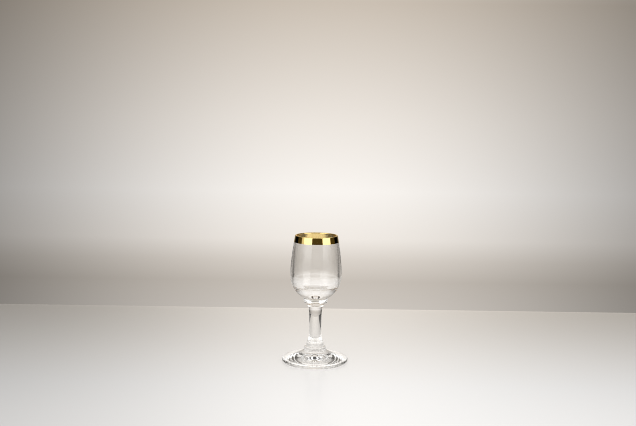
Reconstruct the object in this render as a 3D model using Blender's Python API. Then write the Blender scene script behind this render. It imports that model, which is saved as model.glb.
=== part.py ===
"""Small stemmed vodka glass with a gold band round its rim.

Five pieces of clear glass are fused end to end: foot, stem base, stem, collar and bowl. Two gold
decorations are fired on the rim: a broad band outside and a fine line over the lip. Every piece is
turned about the Z axis. Metres, +Z up, with the origin in the middle of the standing plane.
"""
import math

import bmesh
import bpy

# Joints between the pieces
FUSED_GAP = 0.0003

# Foot
FOOT_RADIUS = 0.0293
FOOT_HEIGHT = 0.0094
FOOT_TOP_HOLLOW = 0.0009
FOOT_EDGE_THICKNESS = 0.0023
FOOT_EDGE_ROUNDING = 0.0009
STANDING_RING_WIDTH = 0.0036
UNDERSIDE_RISE = 0.0028

# Stem base, with its two stepped rings
STEM_BASE_HEIGHT = 0.0123
STEM_BASE_SEAT_RADIUS = 0.0094
LOWER_RING_HEIGHT = 0.0034
LOWER_RING_LEDGE_RADIUS = 0.0088
LOWER_RING_ROUNDING = 0.0007
UPPER_RING_HEIGHT = 0.0029
UPPER_RING_RADIUS = 0.0076
UPPER_RING_ROUNDING = 0.0005
FLARE_HOLLOW = 0.0004

# Stem
STEM_LENGTH = 0.0242
STEM_TOP_RADIUS = 0.0059
STEM_BOTTOM_RADIUS = 0.0055
STEM_WAIST = 0.00035

# Collar, a wide rim over a tapered tier and a small bead
COLLAR_HEIGHT = 0.0100
COLLAR_RIM_RADIUS = 0.0102
COLLAR_RIM_HEIGHT = 0.0046
COLLAR_RIM_ROUNDING = 0.0005
COLLAR_STEP_HEIGHT = 0.0008
COLLAR_STEP_RADIUS = 0.0084
COLLAR_TIER_HOLLOW = 0.0002
COLLAR_BEAD_HEIGHT = 0.0009
COLLAR_BEAD_WIDTH = 0.0007

# Bowl
BOWL_HEIGHT = 0.0544
LIP_RADIUS = 0.0189
LIP_WALL = 0.0014
WALL_BULGE = 0.00055
HIP_RADIUS = 0.0229
HIP_CENTRE_HEIGHT = 0.0183
HIP_HEIGHT = 0.0032
HIP_ROUNDING = 0.00015
HIP_WALL = 0.0026
BASE_BULGE = 0.0012
BASE_TURN_WIDTH = 0.0031
BASE_TURN_HEIGHT = 0.0008
BASE_TURN_ROUNDING = 0.0002
FLOOR_THICKNESS = 0.0092
FLOOR_RADIUS = 0.0153
HEEL_BULGE = 0.0019

# Gold
GOLD_THICKNESS = 0.0002
GOLD_BAND_HEIGHT = 0.0044

# Facets round the axis and along the curves
TURN_STEPS = 48
LONG_CURVE_STEPS = 8
SHORT_CURVE_STEPS = 4
SMOOTH_ANGLE = math.radians(30)
MERGE_DISTANCE = 0.000001

# Places of the pieces along the axis
STEM_BASE_Z = FOOT_HEIGHT + FUSED_GAP
STEM_Z = STEM_BASE_Z + STEM_BASE_HEIGHT + FUSED_GAP
COLLAR_Z = STEM_Z + STEM_LENGTH + FUSED_GAP
BOWL_Z = COLLAR_Z + COLLAR_HEIGHT + FUSED_GAP

# The rounded lip's centre, in the bowl's own frame
LIP_ROUNDING = LIP_WALL / 2
LIP_CENTRE_RADIUS = LIP_RADIUS - LIP_ROUNDING
LIP_CENTRE_HEIGHT = BOWL_HEIGHT - LIP_ROUNDING


def arc(start, end, rise, steps):
    """Points of a round arc; a positive rise bulges to the left of the way from start to end."""
    run = end[0] - start[0], end[1] - start[1]
    chord = math.hypot(*run)
    along = run[0] / chord, run[1] / chord
    left = -along[1], along[0]
    sweep = 4 * math.atan(2 * rise / chord)
    radius = chord / 2 / math.sin(sweep / 2)
    centre_offset = -radius * math.cos(sweep / 2)
    middle = (start[0] + end[0]) / 2, (start[1] + end[1]) / 2
    points = []
    for step in range(steps + 1):
        angle = sweep * (step / steps - 0.5)
        forward = radius * math.sin(angle)
        sideways = centre_offset + radius * math.cos(angle)
        points.append((
            middle[0] + forward * along[0] + sideways * left[0],
            middle[1] + forward * along[1] + sideways * left[1],
        ))
    return points


def half_round(centre, radius, from_angle, to_angle, steps):
    """Points round a centre, from one angle to another, counted from +X towards +Z."""
    points = []
    for step in range(steps + 1):
        angle = from_angle + (to_angle - from_angle) * step / steps
        points.append((centre[0] + radius * math.cos(angle), centre[1] + radius * math.sin(angle)))
    return points


def turned(name, outline, height, material, parent, ring=False):
    """One closed piece: an outline of (radius, height) points, spun once about the axis."""
    shape = bmesh.new()
    corners = [shape.verts.new((radius, 0, z)) for radius, z in outline]
    ends = corners[1:] + corners[:1] if ring else corners[1:]
    edges = [shape.edges.new(pair) for pair in zip(corners, ends)]
    bmesh.ops.spin(
        shape, geom=corners + edges, cent=(0, 0, 0), axis=(0, 0, 1),
        angle=math.tau, steps=TURN_STEPS, use_merge=True,
    )
    bmesh.ops.remove_doubles(shape, verts=shape.verts, dist=MERGE_DISTANCE)
    bmesh.ops.recalc_face_normals(shape, faces=shape.faces)
    mesh = bpy.data.meshes.new(name)
    shape.to_mesh(mesh)
    shape.free()
    mesh.shade_smooth()
    mesh.set_sharp_from_angle(angle=SMOOTH_ANGLE)
    mesh.materials.append(material)
    piece = bpy.data.objects.new(name, mesh)
    piece.location = (0, 0, height)
    piece.parent = parent
    bpy.context.scene.collection.objects.link(piece)
    return piece


def principled(name, colour, metallic, roughness, transmission):
    """A Principled material with plain values."""
    material = bpy.data.materials.new(name)
    material.use_nodes = True
    shader = material.node_tree.nodes["Principled BSDF"]
    shader.inputs["Base Color"].default_value = (*colour, 1)
    shader.inputs["Metallic"].default_value = metallic
    shader.inputs["Roughness"].default_value = roughness
    shader.inputs["Transmission Weight"].default_value = transmission
    return material


def foot_outline():
    """Hollow cone on a rounded edge, a flat standing ring and a domed underside."""
    edge_radius = FOOT_RADIUS - FOOT_EDGE_ROUNDING
    ring_inner_radius = edge_radius - STANDING_RING_WIDTH
    top = [(0, FOOT_HEIGHT)]
    cone = arc(
        (STEM_BASE_SEAT_RADIUS, FOOT_HEIGHT), (edge_radius, FOOT_EDGE_THICKNESS),
        -FOOT_TOP_HOLLOW, LONG_CURVE_STEPS,
    )
    edge = arc(cone[-1], (edge_radius, 0), FOOT_EDGE_ROUNDING, SHORT_CURVE_STEPS)
    dome = []
    for step in range(LONG_CURVE_STEPS + 1):
        share = 1 - step / LONG_CURVE_STEPS
        dome.append((ring_inner_radius * share, UNDERSIDE_RISE * (1 - share * share)))
    return top + cone + edge[1:] + dome


def stem_base_outline():
    """Flare from the stem, then two rounded rings, each on its own ledge."""
    ledge = LOWER_RING_HEIGHT
    ring_top = ledge + UPPER_RING_HEIGHT
    flare = arc(
        (STEM_BOTTOM_RADIUS, STEM_BASE_HEIGHT), (UPPER_RING_RADIUS, ring_top),
        -FLARE_HOLLOW, LONG_CURVE_STEPS,
    )
    upper_ring = arc(flare[-1], (UPPER_RING_RADIUS, ledge), UPPER_RING_ROUNDING, SHORT_CURVE_STEPS)
    lower_ring = arc(
        (LOWER_RING_LEDGE_RADIUS, ledge), (STEM_BASE_SEAT_RADIUS, 0),
        LOWER_RING_ROUNDING, SHORT_CURVE_STEPS,
    )
    return [(0, STEM_BASE_HEIGHT)] + flare + upper_ring[1:] + lower_ring + [(0, 0)]


def stem_outline():
    """Solid rod with a slight waist."""
    side = arc((STEM_TOP_RADIUS, STEM_LENGTH), (STEM_BOTTOM_RADIUS, 0), -STEM_WAIST, LONG_CURVE_STEPS)
    return [(0, STEM_LENGTH)] + side + [(0, 0)]


def collar_outline():
    """Wide rounded rim, a step in, a tapered tier and a bead on the stem's end."""
    rim_bottom = COLLAR_HEIGHT - COLLAR_RIM_HEIGHT
    step_bottom = rim_bottom - COLLAR_STEP_HEIGHT
    bead_radius = STEM_TOP_RADIUS + COLLAR_BEAD_WIDTH
    rim = arc(
        (COLLAR_RIM_RADIUS, COLLAR_HEIGHT), (COLLAR_RIM_RADIUS, rim_bottom),
        COLLAR_RIM_ROUNDING, SHORT_CURVE_STEPS,
    )
    tier = arc(
        (COLLAR_STEP_RADIUS, step_bottom), (bead_radius, COLLAR_BEAD_HEIGHT),
        -COLLAR_TIER_HOLLOW, SHORT_CURVE_STEPS,
    )
    return [(0, COLLAR_HEIGHT)] + rim + tier + [(STEM_TOP_RADIUS, 0), (0, 0)]


def outer_wall():
    """The bowl's outside from the lip down to the hip."""
    hip_top = HIP_CENTRE_HEIGHT + HIP_HEIGHT / 2
    return arc((LIP_RADIUS, LIP_CENTRE_HEIGHT), (HIP_RADIUS, hip_top), WALL_BULGE, LONG_CURVE_STEPS)


def bowl_outline():
    """Flat cavity floor, heel, inner wall, lip, outer wall, hip and base, which turns under to its seat."""
    hip_inside = HIP_RADIUS - HIP_WALL, HIP_CENTRE_HEIGHT
    heel = arc((FLOOR_RADIUS, FLOOR_THICKNESS), hip_inside, -HEEL_BULGE, LONG_CURVE_STEPS)
    inner_wall = arc(
        heel[-1], (LIP_RADIUS - LIP_WALL, LIP_CENTRE_HEIGHT), -WALL_BULGE, LONG_CURVE_STEPS,
    )
    lip = half_round(
        (LIP_CENTRE_RADIUS, LIP_CENTRE_HEIGHT), LIP_ROUNDING, math.pi, 0, SHORT_CURVE_STEPS,
    )
    wall = outer_wall()
    hip = arc(wall[-1], (HIP_RADIUS, HIP_CENTRE_HEIGHT - HIP_HEIGHT / 2), HIP_ROUNDING, SHORT_CURVE_STEPS)
    turn_radius = COLLAR_RIM_RADIUS + BASE_TURN_WIDTH
    base = arc(hip[-1], (turn_radius, BASE_TURN_HEIGHT), BASE_BULGE, LONG_CURVE_STEPS)
    base_turn = arc(base[-1], (COLLAR_RIM_RADIUS, 0), BASE_TURN_ROUNDING, SHORT_CURVE_STEPS)
    outside = wall[1:] + hip[1:] + base[1:] + base_turn[1:]
    return [(0, FLOOR_THICKNESS)] + heel + inner_wall[1:] + lip[1:] + outside + [(0, 0)]


def wall_radius(height):
    """Outside radius of the bowl's wall at a height, read between the wall's own points."""
    points = outer_wall()
    for upper, lower in zip(points, points[1:]):
        if lower[1] <= height:
            break
    share = (upper[1] - height) / (upper[1] - lower[1])
    return upper[0] + share * (lower[0] - upper[0])


def gold_band_outline():
    """Thin ring that follows the wall just below the lip."""
    top = LIP_CENTRE_HEIGHT - FUSED_GAP
    inside = []
    for step in range(SHORT_CURVE_STEPS + 1):
        height = top - GOLD_BAND_HEIGHT * step / SHORT_CURVE_STEPS
        inside.append((wall_radius(height) + FUSED_GAP, height))
    outside = [(radius + GOLD_THICKNESS, height) for radius, height in reversed(inside)]
    return inside + outside


def gold_lip_outline():
    """Thin cap that follows the lip's rounding from the outside to the inside."""
    centre = LIP_CENTRE_RADIUS, LIP_CENTRE_HEIGHT
    under = LIP_ROUNDING + FUSED_GAP
    inside = half_round(centre, under, 0, math.pi, SHORT_CURVE_STEPS)
    outside = half_round(centre, under + GOLD_THICKNESS, math.pi, 0, SHORT_CURVE_STEPS)
    return inside + outside


def build():
    for old in list(bpy.data.objects):
        bpy.data.objects.remove(old, do_unlink=True)

    glass = principled("clear_glass", (1, 1, 1), 0, 0, 1)
    gold = principled("fired_gold", (0.85, 0.62, 0.24), 1, 0.12, 0)

    axis = bpy.data.objects.new("glass_axis", None)
    bpy.context.scene.collection.objects.link(axis)

    turned("foot", foot_outline(), 0, glass, axis)
    turned("stem_base", stem_base_outline(), STEM_BASE_Z, glass, axis)
    turned("stem", stem_outline(), STEM_Z, glass, axis)
    turned("bowl_collar", collar_outline(), COLLAR_Z, glass, axis)
    turned("bowl", bowl_outline(), BOWL_Z, glass, axis)
    turned("gold_band", gold_band_outline(), BOWL_Z, gold, axis, ring=True)
    turned("gold_lip", gold_lip_outline(), BOWL_Z, gold, axis, ring=True)


build()
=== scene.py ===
"""Looks of a small stemmed vodka glass with a gold band round its rim.

The outside of the glass is one falling line, from the lip to the foot's edge. Each of the five pieces of
glass takes its own stretch of that line and is drawn up from a circle, ring by ring. Where two pieces are
fused, their flat faces let everything through. The gold is lifted off the bowl's own rim and given the
thickness of a film. Metres, +Z up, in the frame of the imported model.
"""
import math

import bpy
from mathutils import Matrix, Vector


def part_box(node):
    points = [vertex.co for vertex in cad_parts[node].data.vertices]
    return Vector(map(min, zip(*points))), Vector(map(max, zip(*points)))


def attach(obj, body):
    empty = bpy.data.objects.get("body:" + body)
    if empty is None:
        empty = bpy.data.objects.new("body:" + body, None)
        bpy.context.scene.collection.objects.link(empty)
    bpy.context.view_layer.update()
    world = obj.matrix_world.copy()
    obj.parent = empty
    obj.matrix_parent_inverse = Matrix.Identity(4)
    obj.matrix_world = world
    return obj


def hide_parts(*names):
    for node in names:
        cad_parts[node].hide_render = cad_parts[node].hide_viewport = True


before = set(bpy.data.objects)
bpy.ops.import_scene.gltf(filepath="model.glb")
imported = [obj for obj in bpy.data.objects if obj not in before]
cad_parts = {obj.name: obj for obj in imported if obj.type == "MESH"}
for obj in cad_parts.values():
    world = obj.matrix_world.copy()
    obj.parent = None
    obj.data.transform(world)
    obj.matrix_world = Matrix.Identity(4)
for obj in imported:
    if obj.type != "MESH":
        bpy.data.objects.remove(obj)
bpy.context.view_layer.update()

# Heights of the pieces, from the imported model
FOOT_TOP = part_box("foot")[1].z
FOOT_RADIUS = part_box("foot")[1].x
STEM_BASE_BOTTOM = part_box("stem_base")[0].z
STEM_BASE_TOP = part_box("stem_base")[1].z
STEM_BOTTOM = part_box("stem")[0].z
STEM_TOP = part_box("stem")[1].z
COLLAR_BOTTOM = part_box("bowl_collar")[0].z
COLLAR_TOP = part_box("bowl_collar")[1].z
BOWL_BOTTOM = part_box("bowl")[0].z
RIM_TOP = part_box("gold_lip")[1].z
BAND_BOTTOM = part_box("gold_band")[0].z

# Fused planes, half way between neighbouring pieces
FOOT_JOINT = (FOOT_TOP + STEM_BASE_BOTTOM) / 2
STEM_BASE_JOINT = (STEM_BASE_TOP + STEM_BOTTOM) / 2
STEM_JOINT = (STEM_TOP + COLLAR_BOTTOM) / 2
COLLAR_JOINT = (COLLAR_TOP + BOWL_BOTTOM) / 2

# Gold film
FILM_THICKNESS = 0.00005
FILM_SHARE_OUTSIDE = 0.2

# Foot
FOOT_TOP_HOLLOW = 0.0005
FOOT_EDGE_THICKNESS = 0.0023
FOOT_EDGE_ROUNDING = 0.0009
FOOT_EDGE_RADIUS = FOOT_RADIUS - FOOT_EDGE_ROUNDING
STANDING_RING_WIDTH = 0.0012
UNDERSIDE_RISE = 0.0018
UNDERSIDE_ROUNDNESS = 3.0

# Stem base, with its two stepped rings
SEAT_RADIUS = 0.0094
LOWER_RING_HEIGHT = 0.0034
LOWER_RING_LEDGE_RADIUS = 0.0088
LOWER_RING_ROUNDING = 0.0007
UPPER_RING_HEIGHT = 0.0029
UPPER_RING_RADIUS = 0.0076
UPPER_RING_ROUNDING = 0.0005
FLARE_HOLLOW = 0.0004

# Stem
STEM_TOP_RADIUS = 0.0059
STEM_BOTTOM_RADIUS = 0.0055
STEM_WAIST = 0.00035

# Collar
COLLAR_RIM_RADIUS = 0.0102
COLLAR_RIM_HEIGHT = 0.0046
COLLAR_RIM_ROUNDING = 0.0005
COLLAR_STEP_HEIGHT = 0.0008
COLLAR_STEP_RADIUS = 0.0084
COLLAR_TIER_HOLLOW = 0.0002
COLLAR_BEAD_HEIGHT = 0.0009
COLLAR_BEAD_WIDTH = 0.0007

# Bowl
LIP_RADIUS = 0.0189
LIP_WALL = 0.0014
WALL_BULGE = 0.00055
HIP_RADIUS = 0.02275
HIP_LOW_RADIUS = 0.0221
HIP_CENTRE_HEIGHT = 0.0183
HIP_HEIGHT = 0.0070
HIP_ROUNDING = 0.00039
HIP_WALL = 0.0028
BASE_BULGE = 0.00145
BASE_TURN_WIDTH = 0.0031
BASE_TURN_HEIGHT = 0.0008
BASE_TURN_ROUNDING = 0.0002
FLOOR_THICKNESS = 0.0098
FLOOR_DOME = 0.0002
HEEL_WALL = 0.0012
HEEL_BULGE = 0.00005
LIP_ROUNDING = LIP_WALL / 2
LIP_CENTRE_RADIUS = LIP_RADIUS - LIP_ROUNDING
LIP_CENTRE_HEIGHT = RIM_TOP - FILM_THICKNESS - LIP_ROUNDING

# How far the heat has melted the corners round
CREASE_MELT = 0.0010
SEAT_MELT = 0.0010
HIP_MELT = 0.0015
HEEL_MELT = 0.0009
RING_MELT = 0.0008
BASE_RING_MELT = 0.0006
BELL_MELT = 0.0022
NECK_MELT = 0.0008
STEM_MELT = 0.0040

# Fineness of the meshes
RING_VERTICES = 160
LONG_CURVE_STEPS = 28
SHORT_CURVE_STEPS = 10
MELT_STEPS = 6
SMOOTH_ANGLE = math.radians(35)
SAME_PLACE = 0.000002
LEVEL_NORMAL = 0.999

# Turning lines and handling marks, on glass and gold alike
WAVER_SCALE = 90
SMEAR_TURN = (0.5, 0.3, 0.8)
SMEAR_STRETCH = (1.0, 2.6, 1.0)
SMEAR_FADE = 0.25
SPECK_SCALE = 260
SPECK_SIZE = 0.055
SPECK_CORE = 0.03

# Glass
GLASS_IOR = 1.52
GLASS_TINT = (0.997, 0.998, 0.996)
GLASS_SMEAR_TINT = (0.980, 0.985, 0.978)
GLASS_SMEAR_SCALE = 70
GLASS_SMEARS = 0.42
GLASS_SMEAR_ROUGHNESS = 0.03
GLASS_LINE_SPACING = 0.0022
GLASS_LINE_WAVER = 0.6
GLASS_LINE_SHARE = 0.12
GLASS_WAVE_SCALE = 55
GLASS_WAVE_HEIGHT = 0.000012

# Gold
GOLD_COLOUR = (1.0, 0.76, 0.31)
GOLD_THIN_COLOUR = (0.86, 0.58, 0.22)
GOLD_ROUGHNESS = 0.03
GOLD_LINE_SPACING = 0.00012
GOLD_LINE_WAVER = 1.5
GOLD_LINE_TINT = 0.25
GOLD_LINE_ROUGHNESS = 0.04
GOLD_LINE_HEIGHT = 0.0000008
GOLD_SMEAR_SCALE = 160
GOLD_SMEARS = 0.45
GOLD_DULL_ROUGHNESS = 0.10
GOLD_WORN_ROUGHNESS = 0.30
GOLD_INSIDE_ROUGHNESS = 0.10
GOLD_EDGE_WIDTH = 0.0005
GOLD_EDGE_SCALE = 900

# Table, a white top whose glow is painted light: dimmer and warmer to the back, with a painted highlight
# along its back edge and a painted caustic under the foot
TABLE_GAP = 0.00002
TABLE_BACK_EDGE = 0.2025
TABLE_REACH = 3.0
TABLE_COLOUR = (0.20, 0.195, 0.19)
TABLE_ROUGHNESS = 0.22
# Painted light: the table's glow is brighter to the front and in a pool near the middle, as if from the
# lamps
TABLE_BACK_GLOW = 0.405
TABLE_FRONT_GLOW = 0.70
TABLE_GLOW_FRONT = -0.20
TABLE_SIDE_GLOW = 0.25
TABLE_GLOW_WIDTH = 0.40
TABLE_GLOW_MIDDLE = 0.10
TABLE_BACK_TINT = (1.0, 0.905, 0.79)
TABLE_FRONT_TINT = (1.0, 0.993, 0.985)
TABLE_TINT_FRONT = -0.07
# Painted highlight along the table's back edge
PAINTED_EDGE_HIGHLIGHT = 1.12
PAINTED_EDGE_HIGHLIGHT_WIDTH = 0.007
# Painted caustic: extra glow on the table under the glass's foot
PAINTED_FOOT_CAUSTIC = 0.38
PAINTED_FOOT_CAUSTIC_FADE = 0.007

# Backdrop, with the height above the table, the level and the warmth of its light
BACKDROP_DISTANCE = 0.60
BACKDROP_HALF_WIDTH = 2.0
BACKDROP_LOW = -0.60
BACKDROP_HIGH = 1.40
BACKDROP_LIGHT = (
    (-0.09, 0.62, 0.15),
    (-0.045, 0.58, 0.18),
    (-0.01, 0.70, 0.16),
    (0.025, 0.875, 0.12),
    (0.105, 0.955, 0.08),
    (0.22, 0.84, 0.13),
    (0.41, 0.60, 0.245),
    (0.62, 1.05, 0.065),
)
BACKDROP_GREEN_SHARE = 0.48
BACKDROP_GLOW_WIDTH = 0.57
BACKDROP_GLOW_MIDDLE = 0.025
BACKDROP_MIRRORED_WIDTH = 0.28
BACKDROP_SIDE_LEVEL = 0.36
BACKDROP_THROUGH_GLASS = 1.04

# Black cards beside the glass, left and right edges
CARD_COLOUR = (0.02, 0.02, 0.02)
CARD_ROUGHNESS = 0.8
CARD_LIFT = 0.0005
CARD_FRONT = -0.08
CARD_BACK = 0.20
LEFT_CARD = (-0.30, -0.08)
RIGHT_CARD = (0.13, 0.32)

# Boom high before the backdrop: a black card with a lit panel and a hanging flag on each side
BOOM_DISTANCE = 0.59
BOOM_HEIGHTS = (0.66, 0.98)
BOOM_HALF_WIDTH = 0.38
BOOM_LAMP = (0.104, 0.238)
BOOM_LAMP_LEAD = 0.005
BOOM_LAMP_LEVEL = 1.3
BOOM_FLAG = (0.06, 0.11)
BOOM_FLAG_HEIGHTS = (0.44, 0.66)

# Softboxes, with azimuth and width in degrees
SOFTBOX_DISTANCE = 0.95
SOFTBOX_BOTTOM = 0.02
SOFTBOX_TOP = 0.95
SOFTBOX_FADE = 0.30
SOFTBOX_LOW = 0.25
SOFTBOX_RADIANCE = 1.8
STRIP_RADIANCE = 0.75
LEFT_SOFTBOX = (-44, 44)
LEFT_STRIP = (-73, 13)
RIGHT_SOFTBOX = (54, 43)

# Room: dark walls and a bright ceiling with a dark middle, by elevation in degrees
CEILING_START = 35
CEILING_FULL = 50
CEILING_LEVEL = 1.25
CEILING_HOLE_START = 60
CEILING_HOLE_FULL = 66
CEILING_HOLE_LEVEL = 0.12
DARK_LEVEL = 0.065
DARK_TINT = (1.0, 0.78, 0.32)
THROUGH_GLASS_LEVEL = 0.03
AMBIENT_LEVEL = 0.6
AMBIENT_TINT = (1.0, 0.985, 0.96)

# Camera
IMAGE_WIDTH = 636
FOCAL_LENGTH_IN_PIXELS = 775
SENSOR_WIDTH = 36
CAMERA_SIDE = 0.00102
CAMERA_DISTANCE = 0.6732
CAMERA_HEIGHT = 0.2016
CAMERA_TILT = math.radians(5.95)
CAMERA_ROLL = math.radians(0.825)
PIXEL_FILTER_WIDTH = 1.0
LIGHT_BOUNCES = 32
JOINT_BOUNCES = 64


def arc(start, end, rise, steps):
    """Points of a round arc; a positive rise bulges to the left of the way from start to end."""
    run = end[0] - start[0], end[1] - start[1]
    chord = math.hypot(*run)
    along = run[0] / chord, run[1] / chord
    left = -along[1], along[0]
    sweep = 4 * math.atan(2 * rise / chord)
    radius = chord / 2 / math.sin(sweep / 2)
    centre_offset = -radius * math.cos(sweep / 2)
    middle = (start[0] + end[0]) / 2, (start[1] + end[1]) / 2
    points = []
    for step in range(steps + 1):
        angle = sweep * (step / steps - 0.5)
        forward = radius * math.sin(angle)
        sideways = centre_offset + radius * math.cos(angle)
        points.append((
            middle[0] + forward * along[0] + sideways * left[0],
            middle[1] + forward * along[1] + sideways * left[1],
        ))
    return points


def melted(line, corner, reach, reach_after=None):
    """The line with one corner melted round, from reach before the corner to reach_after behind it."""
    reach_after = reach_after or reach
    place = line.index(corner)
    before = [point for point in line[:place] if math.dist(point, corner) > reach]
    after = [point for point in line[place + 1:] if math.dist(point, corner) > reach_after]
    ends = []
    for neighbour, distance in ((before[-1], reach), (after[0], reach_after)):
        share = distance / math.dist(neighbour, corner)
        ends.append(tuple(c + share * (n - c) for c, n in zip(corner, neighbour)))
    start, end = ends
    bend = []
    for step in range(MELT_STEPS + 1):
        t = step / MELT_STEPS
        bend.append(tuple(
            (1 - t) ** 2 * s + 2 * t * (1 - t) * c + t ** 2 * e for s, c, e in zip(start, corner, end)
        ))
    return before + bend + after


def crossing(line, height):
    """The point where a falling line passes a height."""
    for upper, lower in zip(line, line[1:]):
        if upper[1] >= height > lower[1]:
            break
    share = (upper[1] - height) / (upper[1] - lower[1])
    return upper[0] + share * (lower[0] - upper[0]), height


def stretch(line, top, bottom):
    """The part of a falling line between two heights, with a point exactly on each."""
    inner = [point for point in line if bottom + SAME_PLACE < point[1] < top - SAME_PLACE]
    return [crossing(line, top)] + inner + [crossing(line, bottom)]


def bowl_side():
    """The bowl's outside: long wall, hip, rounded base and the turn into the crease over the collar."""
    hip_middle = BOWL_BOTTOM + HIP_CENTRE_HEIGHT
    hip_top = HIP_RADIUS, hip_middle + HIP_HEIGHT / 2
    hip_bottom = HIP_LOW_RADIUS, hip_middle - HIP_HEIGHT / 2
    base_end = COLLAR_RIM_RADIUS + BASE_TURN_WIDTH, BOWL_BOTTOM + BASE_TURN_HEIGHT
    wall = arc((LIP_RADIUS, LIP_CENTRE_HEIGHT), hip_top, WALL_BULGE, LONG_CURVE_STEPS)
    hip = arc(wall[-1], hip_bottom, HIP_ROUNDING, LONG_CURVE_STEPS)
    base = arc(hip[-1], base_end, BASE_BULGE, LONG_CURVE_STEPS)
    base_turn = arc(base[-1], (COLLAR_RIM_RADIUS, COLLAR_JOINT), BASE_TURN_ROUNDING, SHORT_CURVE_STEPS)
    return wall, hip, base, base_turn


def collar_side(crease):
    """The collar's outside: rounded rim below the crease, and hollow tier down to the bead at the stem."""
    rim_bottom = COLLAR_TOP - COLLAR_RIM_HEIGHT
    tier_top = COLLAR_STEP_RADIUS, rim_bottom - COLLAR_STEP_HEIGHT
    tier_bottom = STEM_TOP_RADIUS + COLLAR_BEAD_WIDTH, COLLAR_BOTTOM + COLLAR_BEAD_HEIGHT
    rim = arc(crease, (COLLAR_RIM_RADIUS, rim_bottom), COLLAR_RIM_ROUNDING, SHORT_CURVE_STEPS)
    tier = arc(tier_top, tier_bottom, -COLLAR_TIER_HOLLOW, SHORT_CURVE_STEPS)
    return rim, tier


def stem_side():
    """The stem's outside, slightly waisted."""
    top = STEM_TOP_RADIUS, STEM_JOINT
    bottom = STEM_BOTTOM_RADIUS, STEM_BASE_JOINT
    return arc(top, bottom, -STEM_WAIST, LONG_CURVE_STEPS)


def stem_base_side(stem_end):
    """The stem base's outside: hollow flare and two stepped rings."""
    ledge = STEM_BASE_BOTTOM + LOWER_RING_HEIGHT
    flare = arc(stem_end, (UPPER_RING_RADIUS, ledge + UPPER_RING_HEIGHT), -FLARE_HOLLOW, LONG_CURVE_STEPS)
    upper_ring = arc(flare[-1], (UPPER_RING_RADIUS, ledge), UPPER_RING_ROUNDING, SHORT_CURVE_STEPS)
    ledge_end = LOWER_RING_LEDGE_RADIUS, ledge
    lower_ring = arc(ledge_end, (SEAT_RADIUS, FOOT_JOINT), LOWER_RING_ROUNDING, SHORT_CURVE_STEPS)
    return flare, upper_ring, lower_ring


def outside_line():
    """The glass's outside, falling from the lip's outer edge to the upper side of the foot's edge."""
    wall, hip, base, base_turn = bowl_side()
    rim, tier = collar_side(base_turn[-1])
    stem = stem_side()
    flare, upper_ring, lower_ring = stem_base_side(stem[-1])
    foot_edge = FOOT_EDGE_RADIUS, FOOT_EDGE_THICKNESS
    cone = arc(lower_ring[-1], foot_edge, -FOOT_TOP_HOLLOW, LONG_CURVE_STEPS)

    line = wall + hip[1:] + base[1:] + base_turn[1:] + rim[1:] + tier + stem
    line += flare[1:] + upper_ring[1:] + lower_ring + cone[1:]
    line = melted(line, base_turn[-1], CREASE_MELT)
    line = melted(line, lower_ring[-1], SEAT_MELT)
    for corner in (wall[-1], hip[-1]):
        line = melted(line, corner, HIP_MELT)
    for corner in (rim[-1], tier[0], tier[-1]):
        line = melted(line, corner, RING_MELT)
    for corner in (upper_ring[-1], lower_ring[0]):
        line = melted(line, corner, BASE_RING_MELT)
    line = melted(line, flare[-1], BELL_MELT)
    return melted(line, stem[0], NECK_MELT, STEM_MELT)


def foot_outline(outside):
    """Joint face, hollow cone, rounded edge, flat standing ring and hollow underside."""
    cone = [crossing(outside, FOOT_JOINT)] + [point for point in outside if point[1] < FOOT_JOINT]
    edge = arc(cone[-1], (FOOT_EDGE_RADIUS, 0), FOOT_EDGE_ROUNDING, SHORT_CURVE_STEPS)
    ring_inner_radius = FOOT_EDGE_RADIUS - STANDING_RING_WIDTH
    underside = []
    for step in range(LONG_CURVE_STEPS):
        share = 1 - step / LONG_CURVE_STEPS
        rise = UNDERSIDE_RISE * (1 - share ** UNDERSIDE_ROUNDNESS)
        underside.append((ring_inner_radius * share, rise))
    return cone + edge[1:] + underside


def cavity_line(outside):
    """The bowl's inside, from the middle of its nearly flat floor over the heel and the wall to the lip."""
    floor_height = BOWL_BOTTOM + FLOOR_THICKNESS
    heel_radius = crossing(outside, floor_height)[0] - HEEL_WALL
    floor = []
    for step in range(1, SHORT_CURVE_STEPS + 1):
        share = step / SHORT_CURVE_STEPS
        floor.append((heel_radius * share, floor_height + FLOOR_DOME * (1 - share ** 2)))
    hip_inside = HIP_RADIUS - HIP_WALL, BOWL_BOTTOM + HIP_CENTRE_HEIGHT
    heel = arc(floor[-1], hip_inside, -HEEL_BULGE, LONG_CURVE_STEPS)
    lip_inside = LIP_RADIUS - LIP_WALL, LIP_CENTRE_HEIGHT
    inner_wall = arc(heel[-1], lip_inside, -WALL_BULGE, LONG_CURVE_STEPS)
    line = floor + heel[1:] + inner_wall[1:]
    line = melted(line, floor[-1], HEEL_MELT)
    return melted(line, heel[-1], HIP_MELT)


def bowl_outline(outside):
    """Cavity, rounded lip, outside and joint face."""
    lip = []
    for step in range(1, SHORT_CURVE_STEPS):
        angle = math.pi * (1 - step / SHORT_CURVE_STEPS)
        lip.append((
            LIP_CENTRE_RADIUS + LIP_ROUNDING * math.cos(angle),
            LIP_CENTRE_HEIGHT + LIP_ROUNDING * math.sin(angle),
        ))
    side = [point for point in outside if point[1] > COLLAR_JOINT + SAME_PLACE]
    return cavity_line(outside) + lip + side + [crossing(outside, COLLAR_JOINT)]


def close_pole():
    """Draws the selected ring together on the axis."""
    bpy.ops.mesh.extrude_region_move()
    bpy.ops.mesh.merge(type="CENTER")


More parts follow.
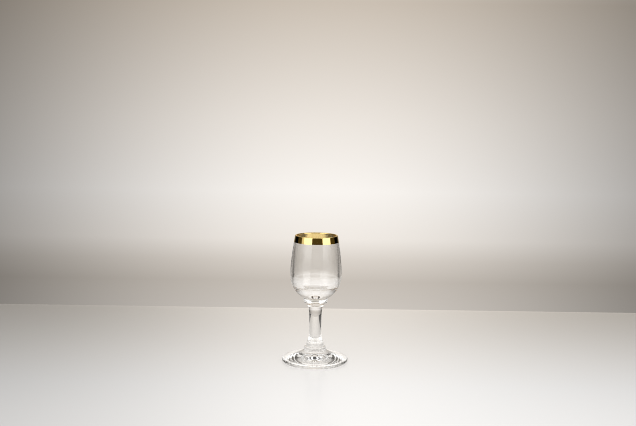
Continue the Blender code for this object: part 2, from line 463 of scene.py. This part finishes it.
def turned(name, outline):
    """A closed piece, drawn from a circle ring by ring along an outline of (radius, height) points."""
    radius, height = outline[0]
    bpy.ops.object.select_all(action="DESELECT")
    bpy.ops.mesh.primitive_circle_add(vertices=RING_VERTICES, radius=radius, location=(0, 0, height))
    piece = bpy.context.object
    piece.name = name
    bpy.ops.object.transform_apply(location=True, rotation=False, scale=False)
    bpy.ops.object.mode_set(mode="EDIT")
    bpy.ops.mesh.select_all(action="SELECT")
    close_pole()
    bpy.ops.mesh.select_all(action="DESELECT")
    bpy.ops.mesh.select_non_manifold(extend=False)
    for next_radius, next_height in outline[1:]:
        bpy.ops.mesh.extrude_region_move(TRANSFORM_OT_translate={"value": (0, 0, next_height - height)})
        scale = next_radius / radius
        bpy.ops.transform.resize(value=(scale, scale, 1), center_override=(0, 0, 0))
        radius, height = next_radius, next_height
    close_pole()
    bpy.ops.mesh.select_all(action="SELECT")
    bpy.ops.mesh.remove_doubles(threshold=SAME_PLACE)
    bpy.ops.mesh.normals_make_consistent(inside=False)
    bpy.ops.object.mode_set(mode="OBJECT")
    bpy.ops.object.shade_smooth_by_angle(angle=SMOOTH_ANGLE)
    return piece


def fused(piece, glass, joint, heights):
    """Gives a piece its glass, and the joint's finish on its flat faces at the fused heights."""
    piece.data.materials.append(glass)
    piece.data.materials.append(joint)
    for face in piece.data.polygons:
        flat = abs(face.normal.z) > LEVEL_NORMAL
        if flat and any(abs(face.center.z - height) < SAME_PLACE for height in heights):
            face.material_index = 1


def lifted_film(name, bowl, bottom, top):
    """Gold film lifted off the bowl and made thick: its outside up to a top, or else the whole lip."""
    bpy.ops.object.select_all(action="DESELECT")
    bowl.select_set(True)
    bpy.context.view_layer.objects.active = bowl
    bpy.ops.object.duplicate()
    film = bpy.context.object
    film.name = name
    film.data.name = name
    bpy.ops.object.mode_set(mode="EDIT")
    bpy.ops.mesh.select_all(action="SELECT")
    bpy.ops.mesh.bisect(plane_co=(0, 0, bottom), plane_no=(0, 0, 1), clear_inner=True)
    if top is not None:
        bpy.ops.mesh.select_all(action="SELECT")
        bpy.ops.mesh.bisect(plane_co=(0, 0, top), plane_no=(0, 0, 1), clear_outer=True)
        bpy.ops.object.mode_set(mode="OBJECT")
        for face in film.data.polygons:
            face.select = face.center.x * face.normal.x + face.center.y * face.normal.y < 0
        bpy.ops.object.mode_set(mode="EDIT")
        bpy.ops.mesh.select_mode(type="FACE")
        bpy.ops.mesh.delete(type="FACE")
    bpy.ops.object.mode_set(mode="OBJECT")
    film.data.materials.clear()
    thickness = film.modifiers.new("film", "SOLIDIFY")
    thickness.thickness = FILM_THICKNESS
    thickness.offset = FILM_SHARE_OUTSIDE
    bpy.ops.object.modifier_apply(modifier=thickness.name)
    bpy.ops.object.shade_smooth_by_angle(angle=SMOOTH_ANGLE)
    return film


def new_node(tree, kind, **settings):
    """A node of a kind, with its settings."""
    node = tree.nodes.new(kind)
    for name, value in settings.items():
        setattr(node, name, value)
    return node


def linked_math(tree, operation, first, second=None):
    """A Math node on two inputs, each a socket or a plain number, and its output."""
    node = new_node(tree, "ShaderNodeMath", operation=operation)
    for value, socket in zip((first, second), node.inputs):
        if isinstance(value, bpy.types.NodeSocket):
            tree.links.new(value, socket)
        elif value is not None:
            socket.default_value = value
    return node.outputs[0]


def place_axes(tree, kind="Object"):
    """X, Y and Z of the texture coordinates of a kind."""
    place = new_node(tree, "ShaderNodeTexCoord")
    split = new_node(tree, "ShaderNodeSeparateXYZ")
    tree.links.new(place.outputs[kind], split.inputs["Vector"])
    return split.outputs


def bell(tree, socket, width):
    """A bell curve of a coordinate: 1 in the middle, falling off over the width."""
    share = linked_math(tree, "DIVIDE", socket, width)
    power = linked_math(tree, "MULTIPLY", share, share)
    negative = linked_math(tree, "MULTIPLY", power, -1.0)
    return linked_math(tree, "EXPONENT", negative)


def ranged(tree, socket, start, end, low, high, smooth=False):
    """A coordinate mapped from start..end to low..high and held beyond."""
    node = new_node(tree, "ShaderNodeMapRange")
    if smooth:
        node.interpolation_type = "SMOOTHSTEP"
    for name, value in (("From Min", start), ("From Max", end), ("To Min", low), ("To Max", high)):
        node.inputs[name].default_value = value
    tree.links.new(socket, node.inputs["Value"])
    return node.outputs["Result"]


def noise(tree, vector, scale, detail):
    """Soft noise on a vector, about 0.5 with a swing of about 0.3 to both sides."""
    node = new_node(tree, "ShaderNodeTexNoise")
    node.inputs["Detail"].default_value = detail
    for value, socket in ((vector, node.inputs["Vector"]), (scale, node.inputs["Scale"])):
        if isinstance(value, bpy.types.NodeSocket):
            tree.links.new(value, socket)
        else:
            socket.default_value = value
    return node.outputs["Fac"]


def mixed_colour(tree, share, first, second):
    """A colour between two, by a share of 0 to 1."""
    ramp = new_node(tree, "ShaderNodeValToRGB")
    ramp.color_ramp.elements[0].color = (*first, 1)
    ramp.color_ramp.elements[1].color = (*second, 1)
    tree.links.new(share, ramp.inputs["Fac"])
    return ramp.outputs["Color"]


def bumped(tree, shader, height, distance):
    """Feeds a height through a Bump node to the shader's normal."""
    bump = new_node(tree, "ShaderNodeBump")
    bump.inputs["Distance"].default_value = distance
    tree.links.new(height, bump.inputs["Height"])
    tree.links.new(bump.outputs["Normal"], shader.inputs["Normal"])


def plain_material(name, colour, roughness, metallic=0.0, transmission=0.0, ior=1.5, alpha=1.0):
    """A material that is the same all over."""
    material = bpy.data.materials.new(name)
    material.use_nodes = True
    shader = material.node_tree.nodes["Principled BSDF"]
    shader.inputs["Base Color"].default_value = (*colour, 1)
    shader.inputs["Roughness"].default_value = roughness
    shader.inputs["Metallic"].default_value = metallic
    shader.inputs["Transmission Weight"].default_value = transmission
    shader.inputs["IOR"].default_value = ior
    shader.inputs["Alpha"].default_value = alpha
    return material


def new_group(name, inputs, outputs):
    """A shader node group with number sockets; gives the group, its inside inputs and its inside outputs."""
    group = bpy.data.node_groups.new(name, "ShaderNodeTree")
    for socket_name, value in inputs.items():
        socket = group.interface.new_socket(socket_name, in_out="INPUT", socket_type="NodeSocketFloat")
        socket.default_value = value
    for socket_name in outputs:
        group.interface.new_socket(socket_name, in_out="OUTPUT", socket_type="NodeSocketFloat")
    entry = new_node(group, "NodeGroupInput")
    exit_node = new_node(group, "NodeGroupOutput")
    return group, entry.outputs, exit_node.inputs


def placed_group(tree, group, values):
    """Places a group in a material with its own values, and gives its outputs."""
    node = new_node(tree, "ShaderNodeGroup", node_tree=group)
    for name, value in values.items():
        node.inputs[name].default_value = value
    return node.outputs


def turning_lines_group():
    """Fine rings round the axis, as turning leaves them in hot glass and a brush leaves them in gold."""
    group, given, put_out = new_group("Turning lines", {"Spacing": 0.001, "Waver": 0.5}, ["Height"])
    place = new_node(group, "ShaderNodeTexCoord")
    count = linked_math(group, "DIVIDE", place_axes(group)["Z"], given["Spacing"])
    swing = noise(group, place.outputs["Object"], WAVER_SCALE, detail=2)
    along = linked_math(group, "ADD", count, linked_math(group, "MULTIPLY", swing, given["Waver"]))
    rings = new_node(group, "ShaderNodeTexNoise", noise_dimensions="1D")
    rings.inputs["Scale"].default_value = 1.0
    rings.inputs["Detail"].default_value = 3.0
    group.links.new(along, rings.inputs["W"])
    group.links.new(rings.outputs["Fac"], put_out["Height"])
    return group


def handling_marks_group():
    """Faint smears left by fingers and cloth, and a few fine specks of dust."""
    group, given, put_out = new_group(
        "Handling marks", {"Smear scale": 100.0, "Coverage": 0.4}, ["Smears", "Specks"],
    )
    place = new_node(group, "ShaderNodeTexCoord")
    squeeze = new_node(group, "ShaderNodeMapping")
    squeeze.inputs["Rotation"].default_value = SMEAR_TURN
    squeeze.inputs["Scale"].default_value = SMEAR_STRETCH
    group.links.new(place.outputs["Object"], squeeze.inputs["Vector"])
    patches = noise(group, squeeze.outputs["Vector"], given["Smear scale"], detail=4)
    clean = linked_math(group, "SUBTRACT", 1.0, given["Coverage"])
    above = linked_math(group, "SUBTRACT", patches, clean)
    smears = ranged(group, above, 0.0, SMEAR_FADE, 0.0, 1.0, smooth=True)
    group.links.new(smears, put_out["Smears"])
    grains = new_node(group, "ShaderNodeTexVoronoi")
    grains.inputs["Scale"].default_value = SPECK_SCALE
    group.links.new(place.outputs["Object"], grains.inputs["Vector"])
    specks = ranged(group, grains.outputs["Distance"], SPECK_SIZE, SPECK_CORE, 0.0, 1.0, smooth=True)
    group.links.new(specks, put_out["Specks"])
    return group


def clear_glass(turning_lines, handling_marks):
    """Clear glass: smooth from the fire, with slow waves, faint turning lines and light smears."""
    material = plain_material("clear_glass", GLASS_TINT, 0.0, transmission=1.0, ior=GLASS_IOR)
    tree = material.node_tree
    shader = tree.nodes["Principled BSDF"]
    place = new_node(tree, "ShaderNodeTexCoord")
    turning = placed_group(tree, turning_lines, {"Spacing": GLASS_LINE_SPACING, "Waver": GLASS_LINE_WAVER})
    marks = placed_group(tree, handling_marks, {"Smear scale": GLASS_SMEAR_SCALE, "Coverage": GLASS_SMEARS})
    waves = noise(tree, place.outputs["Object"], GLASS_WAVE_SCALE, detail=1)
    rings = linked_math(tree, "MULTIPLY", turning["Height"], GLASS_LINE_SHARE)
    bumped(tree, shader, linked_math(tree, "ADD", waves, rings), GLASS_WAVE_HEIGHT)
    cloud = linked_math(tree, "MAXIMUM", marks["Smears"], marks["Specks"])
    tree.links.new(linked_math(tree, "MULTIPLY", cloud, GLASS_SMEAR_ROUGHNESS), shader.inputs["Roughness"])
    tree.links.new(mixed_colour(tree, cloud, GLASS_TINT, GLASS_SMEAR_TINT), shader.inputs["Base Color"])
    return material


def gold_on_glass(tree, place):
    """1 on the gold's side that lies on the glass, where the normal points inwards, and 0 elsewhere."""
    outwards = new_node(tree, "ShaderNodeVectorMath", operation="DOT_PRODUCT")
    tree.links.new(place.outputs["Object"], outwards.inputs[0])
    tree.links.new(place.outputs["Normal"], outwards.inputs[1])
    return linked_math(tree, "LESS_THAN", outwards.outputs["Value"], 0)


def fired_gold(turning_lines, handling_marks):
    """Bright gold brushed on round the rim and fired.

    It has fine brush lines, is thin and redder at its lower edge, worn on the lip and duller on the glass.
    """
    material = plain_material("fired_gold", GOLD_COLOUR, GOLD_ROUGHNESS, metallic=1.0)
    tree = material.node_tree
    shader = tree.nodes["Principled BSDF"]
    place = new_node(tree, "ShaderNodeTexCoord")
    height = place_axes(tree)["Z"]
    brushed = placed_group(tree, turning_lines, {"Spacing": GOLD_LINE_SPACING, "Waver": GOLD_LINE_WAVER})
    lines = brushed["Height"]
    marks = placed_group(tree, handling_marks, {"Smear scale": GOLD_SMEAR_SCALE, "Coverage": GOLD_SMEARS})
    bumped(tree, shader, lines, GOLD_LINE_HEIGHT)

    edge = ranged(tree, height, BAND_BOTTOM + GOLD_EDGE_WIDTH, BAND_BOTTOM, 0.0, 1.0, smooth=True)
    frayed = noise(tree, place.outputs["Object"], GOLD_EDGE_SCALE, detail=3)
    uneven = linked_math(tree, "MULTIPLY", edge, frayed)
    thin = linked_math(tree, "MAXIMUM", uneven, linked_math(tree, "MULTIPLY", lines, GOLD_LINE_TINT))
    tree.links.new(mixed_colour(tree, thin, GOLD_COLOUR, GOLD_THIN_COLOUR), shader.inputs["Base Color"])

    worn = ranged(
        tree, height, LIP_CENTRE_HEIGHT, LIP_CENTRE_HEIGHT + LIP_ROUNDING / 2,
        GOLD_ROUGHNESS, GOLD_WORN_ROUGHNESS, smooth=True,
    )
    smeared = linked_math(tree, "MAXIMUM", marks["Smears"], marks["Specks"])
    dull = linked_math(tree, "MAXIMUM", uneven, smeared)
    rough = linked_math(tree, "MULTIPLY", lines, GOLD_LINE_ROUGHNESS)
    rough = linked_math(tree, "ADD", rough, linked_math(tree, "MULTIPLY", dull, GOLD_DULL_ROUGHNESS))
    inside = linked_math(tree, "MULTIPLY", gold_on_glass(tree, place), GOLD_INSIDE_ROUGHNESS)
    rough = linked_math(tree, "ADD", rough, inside)
    tree.links.new(linked_math(tree, "ADD", rough, worn), shader.inputs["Roughness"])
    return material


def build_glass():
    """The five pieces of glass and the two of gold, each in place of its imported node."""
    outside = outside_line()
    turning_lines = turning_lines_group()
    handling_marks = handling_marks_group()
    glass = clear_glass(turning_lines, handling_marks)
    joint = plain_material("fused_joint", (1, 1, 1), 0.0, alpha=0.0)
    gold = fired_gold(turning_lines, handling_marks)

    foot = turned("foot_glass", foot_outline(outside))
    fused(foot, glass, joint, [FOOT_JOINT])
    stem_base = turned("stem_base_glass", stretch(outside, STEM_BASE_JOINT, FOOT_JOINT))
    fused(stem_base, glass, joint, [STEM_BASE_JOINT, FOOT_JOINT])
    stem = turned("stem_glass", stretch(outside, STEM_JOINT, STEM_BASE_JOINT))
    fused(stem, glass, joint, [STEM_JOINT, STEM_BASE_JOINT])
    collar = turned("collar_glass", stretch(outside, COLLAR_JOINT, STEM_JOINT))
    fused(collar, glass, joint, [COLLAR_JOINT, STEM_JOINT])
    bowl = turned("bowl_glass", bowl_outline(outside))
    fused(bowl, glass, joint, [COLLAR_JOINT])

    band = lifted_film("gold_band_film", bowl, BAND_BOTTOM, LIP_CENTRE_HEIGHT)
    band.data.materials.append(gold)
    lip = lifted_film("gold_lip_film", bowl, LIP_CENTRE_HEIGHT, None)
    lip.data.materials.append(gold)

    stands_for = {
        "foot": foot, "stem_base": stem_base, "stem": stem, "bowl_collar": collar, "bowl": bowl,
        "gold_band": band, "gold_lip": lip,
    }
    for node, piece in stands_for.items():
        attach(piece, "root")
        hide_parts(node)


def stage_plane(name, material, width, length, location, turn=0.0):
    """A flat piece of the stage, turned up about X."""
    bpy.ops.object.select_all(action="DESELECT")
    bpy.ops.mesh.primitive_plane_add(size=1)
    plane = bpy.context.object
    plane.name = name
    plane.scale = (width, length, 1)
    plane.rotation_euler = (turn, 0, 0)
    plane.location = location
    bpy.ops.object.transform_apply(location=True, rotation=True, scale=True)
    plane.data.materials.append(material)
    return plane


def painted_table_light(tree, axes):
    """Strength of the table's painted light, by the place on the table."""
    # Painted light, brighter towards the front
    painted_front_light = ranged(
        tree, axes["Y"], TABLE_BACK_EDGE, TABLE_GLOW_FRONT, TABLE_BACK_GLOW, TABLE_FRONT_GLOW, smooth=True,
    )
    # Painted highlight along the table's back edge
    edge_start = TABLE_BACK_EDGE - PAINTED_EDGE_HIGHLIGHT_WIDTH
    painted_edge_highlight = ranged(tree, axes["Y"], edge_start, TABLE_BACK_EDGE, 1, PAINTED_EDGE_HIGHLIGHT)
    # Painted pool of light across the middle of the table
    from_middle = linked_math(tree, "SUBTRACT", axes["X"], TABLE_GLOW_MIDDLE)
    pool = ranged(tree, bell(tree, from_middle, TABLE_GLOW_WIDTH), 0, 1, TABLE_SIDE_GLOW, 1)
    across = linked_math(tree, "MULTIPLY", axes["X"], axes["X"])
    along = linked_math(tree, "MULTIPLY", axes["Y"], axes["Y"])
    from_axis = linked_math(tree, "SQRT", linked_math(tree, "ADD", across, along))
    # Painted caustic under the foot, where the glass gathers light onto the table
    painted_foot_caustic = ranged(
        tree, from_axis, FOOT_RADIUS, FOOT_RADIUS - PAINTED_FOOT_CAUSTIC_FADE, 0, PAINTED_FOOT_CAUSTIC, smooth=True,
    )
    glow = linked_math(tree, "MULTIPLY", painted_front_light, painted_edge_highlight)
    glow = linked_math(tree, "MULTIPLY", glow, pool)
    return linked_math(tree, "ADD", glow, painted_foot_caustic)


def table_material():
    """White translucent top whose glow is painted light, brighter and less warm to the front, with a soft
    polish.
    """
    material = plain_material("table_top", TABLE_COLOUR, TABLE_ROUGHNESS)
    tree = material.node_tree
    shader = tree.nodes["Principled BSDF"]
    axes = place_axes(tree)
    # Tint of the painted light, warmer to the back
    cooler = ranged(tree, axes["Y"], TABLE_BACK_EDGE, TABLE_TINT_FRONT, 0, 1)
    tint = mixed_colour(tree, cooler, TABLE_BACK_TINT, TABLE_FRONT_TINT)
    tree.links.new(tint, shader.inputs["Emission Color"])
    tree.links.new(painted_table_light(tree, axes), shader.inputs["Emission Strength"])
    return material


def backdrop_tone(tree, height):
    """Colour of the backdrop's light by height: warmth takes away blue, and about half as much green."""
    low = BACKDROP_LIGHT[0][0]
    high = BACKDROP_LIGHT[-1][0]
    ramp = new_node(tree, "ShaderNodeValToRGB")
    elements = ramp.color_ramp.elements
    while len(elements) < len(BACKDROP_LIGHT):
        elements.new(0.5)
    for element, (place, level, warmth) in zip(elements, BACKDROP_LIGHT):
        green = level * (1 - BACKDROP_GREEN_SHARE * warmth)
        blue = level * (1 - warmth)
        element.position = (place - low) / (high - low)
        element.color = (level, green, blue, 1)
    tree.links.new(ranged(tree, height, low, high, 0, 1), ramp.inputs["Fac"])
    return ramp.outputs["Color"]


def backdrop_material():
    """Paper lit low in its middle, so that it fades upwards, downwards and to both sides.

    The pool of light is narrower where it is mirrored, and the camera never sees its sides go dark.
    """
    material = bpy.data.materials.new("backdrop_paper")
    material.use_nodes = True
    tree = material.node_tree
    tree.nodes.clear()
    axes = place_axes(tree)
    light = new_node(tree, "ShaderNodeEmission")
    tree.links.new(backdrop_tone(tree, axes["Z"]), light.inputs["Color"])
    path = new_node(tree, "ShaderNodeLightPath")
    through = path.outputs["Is Transmission Ray"]
    # Light that has gone through glass counts as glossy too
    reflected = linked_math(tree, "SUBTRACT", path.outputs["Is Glossy Ray"], through)
    mirrored = linked_math(tree, "MAXIMUM", reflected, 0)
    not_mirrored = linked_math(tree, "SUBTRACT", 1, mirrored)
    sides = linked_math(tree, "MULTIPLY", path.outputs["Is Camera Ray"], BACKDROP_SIDE_LEVEL)
    from_middle = linked_math(tree, "SUBTRACT", axes["X"], BACKDROP_GLOW_MIDDLE)
    wide = linked_math(tree, "MAXIMUM", bell(tree, from_middle, BACKDROP_GLOW_WIDTH), sides)
    narrow = bell(tree, axes["X"], BACKDROP_MIRRORED_WIDTH)
    narrow = linked_math(tree, "MULTIPLY", mirrored, narrow)
    pool = linked_math(tree, "ADD", narrow, linked_math(tree, "MULTIPLY", not_mirrored, wide))
    gain = ranged(tree, through, 0, 1, 1, BACKDROP_THROUGH_GLASS)
    tree.links.new(linked_math(tree, "MULTIPLY", pool, gain), light.inputs["Strength"])
    out = new_node(tree, "ShaderNodeOutputMaterial")
    tree.links.new(light.outputs["Emission"], out.inputs["Surface"])
    return material


def boom_lamp_material():
    """White panel that shines evenly."""
    material = plain_material("boom_lamp", (0, 0, 0), CARD_ROUGHNESS)
    shader = material.node_tree.nodes["Principled BSDF"]
    shader.inputs["Emission Color"].default_value = (1, 1, 1, 1)
    shader.inputs["Emission Strength"].default_value = BOOM_LAMP_LEVEL
    return material


def seen_in_glass_only(panel):
    """Hides a panel from all but the light that goes through the glass."""
    panel.visible_camera = False
    panel.visible_diffuse = False
    panel.visible_glossy = False
    panel.visible_shadow = False


def side_card(name, material, edges):
    """A dark card lying beside the glass, that draws the glass's edges."""
    left, right = edges
    card = stage_plane(
        name, material, right - left, CARD_BACK - CARD_FRONT,
        ((left + right) / 2, (CARD_BACK + CARD_FRONT) / 2, CARD_LIFT),
    )
    seen_in_glass_only(card)


def boom_panel(name, material, edges, heights, lead=0.0):
    """An upright panel high before the backdrop, that draws the bars in the foot."""
    left, right = edges
    low, high = heights
    panel = stage_plane(
        name, material, right - left, high - low,
        ((left + right) / 2, BOOM_DISTANCE - lead, (low + high) / 2), math.pi / 2,
    )
    seen_in_glass_only(panel)


def build_stage():
    """Table and backdrop, and the cards and panels that only show in the glass."""
    depth = TABLE_REACH + TABLE_BACK_EDGE
    stage_plane(
        "table", table_material(), 2 * TABLE_REACH, depth,
        (0, TABLE_BACK_EDGE - depth / 2, -TABLE_GAP),
    )
    stage_plane(
        "backdrop", backdrop_material(), 2 * BACKDROP_HALF_WIDTH, BACKDROP_HIGH - BACKDROP_LOW,
        (0, BACKDROP_DISTANCE, (BACKDROP_HIGH + BACKDROP_LOW) / 2), math.pi / 2,
    )
    black = plain_material("black_card", CARD_COLOUR, CARD_ROUGHNESS)
    lit = boom_lamp_material()
    side_card("left_card", black, LEFT_CARD)
    side_card("right_card", black, RIGHT_CARD)
    boom_panel("boom_card", black, (-BOOM_HALF_WIDTH, BOOM_HALF_WIDTH), BOOM_HEIGHTS)
    inner, outer = BOOM_LAMP
    boom_panel("left_boom_lamp", lit, (-outer, -inner), BOOM_HEIGHTS, BOOM_LAMP_LEAD)
    boom_panel("right_boom_lamp", lit, (inner, outer), BOOM_HEIGHTS, BOOM_LAMP_LEAD)
    inner, outer = BOOM_FLAG
    boom_panel("left_boom_flag", black, (-outer, -inner), BOOM_FLAG_HEIGHTS)
    boom_panel("right_boom_flag", black, (inner, outer), BOOM_FLAG_HEIGHTS)


def softbox(name, azimuth, width_angle, radiance):
    """A lamp that faces the glass and fades at its lower edge; azimuth counts from the camera towards +X."""
    turn = math.radians(azimuth)
    width = 2 * SOFTBOX_DISTANCE * math.tan(math.radians(width_angle) / 2)
    tall = SOFTBOX_TOP - SOFTBOX_BOTTOM
    bpy.ops.object.select_all(action="DESELECT")
    bpy.ops.object.light_add(type="AREA")
    lamp = bpy.context.object
    lamp.name = name
    lamp.location = (
        math.sin(turn) * SOFTBOX_DISTANCE, -math.cos(turn) * SOFTBOX_DISTANCE,
        (SOFTBOX_BOTTOM + SOFTBOX_TOP) / 2,
    )
    lamp.rotation_euler = (math.pi / 2, 0, turn)
    lamp.data.shape = "RECTANGLE"
    lamp.data.size = width
    lamp.data.size_y = tall
    lamp.data.energy = radiance * math.pi * width * tall
    lamp.visible_camera = False
    lamp.data.use_nodes = True
    tree = lamp.data.node_tree
    up = place_axes(tree, "UV")["Y"]
    fade = ranged(tree, up, 0, SOFTBOX_FADE, SOFTBOX_LOW, 1, smooth=True)
    tree.links.new(fade, tree.nodes["Emission"].inputs["Strength"])


def build_lamps():
    """A softbox on each side of the camera, and a strip farther round to the left."""
    softbox("left_softbox", *LEFT_SOFTBOX, SOFTBOX_RADIANCE)
    softbox("left_strip", *LEFT_STRIP, STRIP_RADIANCE)
    softbox("right_softbox", *RIGHT_SOFTBOX, SOFTBOX_RADIANCE)


def by_elevation(tree, up, start, full, low, high):
    """A level that goes from low to high between two elevations in degrees."""
    start_height = math.sin(math.radians(start))
    full_height = math.sin(math.radians(full))
    return ranged(tree, up, start_height, full_height, low, high, smooth=True)


def build_room():
    """The world: dark walls and a bright ceiling with a dark middle, as glass and gold see them.

    The camera and dull surfaces find the walls pale and the ceiling bright all over.
    """
    world = bpy.data.worlds.new("studio")
    bpy.context.scene.world = world
    world.use_nodes = True
    # Not sampled as a lamp, because its level depends on what sees it
    world.cycles.sampling_method = "NONE"
    tree = world.node_tree
    back = tree.nodes["Background"]
    path = new_node(tree, "ShaderNodeLightPath")
    plain = linked_math(tree, "MAXIMUM", path.outputs["Diffuse Depth"], path.outputs["Is Camera Ray"])
    plain = ranged(tree, plain, 0, 1, 0, 1)
    dark = ranged(tree, path.outputs["Is Transmission Ray"], 0, 1, DARK_LEVEL, THROUGH_GLASS_LEVEL)
    walls = linked_math(tree, "MAXIMUM", dark, linked_math(tree, "MULTIPLY", plain, AMBIENT_LEVEL))
    up = place_axes(tree, "Generated")["Z"]
    ceiling = by_elevation(tree, up, CEILING_START, CEILING_FULL, 0, CEILING_LEVEL)
    hole = by_elevation(tree, up, CEILING_HOLE_START, CEILING_HOLE_FULL, 1, CEILING_HOLE_LEVEL)
    ceiling = linked_math(tree, "MULTIPLY", ceiling, linked_math(tree, "MAXIMUM", hole, plain))
    tree.links.new(linked_math(tree, "MAXIMUM", walls, ceiling), back.inputs["Strength"])
    lit = linked_math(tree, "MAXIMUM", plain, ceiling)
    tree.links.new(mixed_colour(tree, lit, DARK_TINT, AMBIENT_TINT), back.inputs["Color"])


def build_camera():
    """The camera, a little above the glass and tilted down to it."""
    bpy.ops.object.camera_add(location=(CAMERA_SIDE, -CAMERA_DISTANCE, CAMERA_HEIGHT))
    camera = bpy.context.object
    camera.rotation_mode = "ZYX"
    camera.rotation_euler = (math.pi / 2 - CAMERA_TILT, 0, CAMERA_ROLL)
    camera.data.sensor_width = SENSOR_WIDTH
    camera.data.lens = FOCAL_LENGTH_IN_PIXELS * SENSOR_WIDTH / IMAGE_WIDTH
    bpy.context.scene.camera = camera


build_glass()
build_stage()
build_lamps()
build_room()
build_camera()

scene = bpy.context.scene
scene.view_settings.view_transform = "Standard"
scene.cycles.filter_width = PIXEL_FILTER_WIDTH
scene.cycles.max_bounces = LIGHT_BOUNCES
scene.cycles.glossy_bounces = LIGHT_BOUNCES
scene.cycles.transmission_bounces = LIGHT_BOUNCES
scene.cycles.transparent_max_bounces = JOINT_BOUNCES
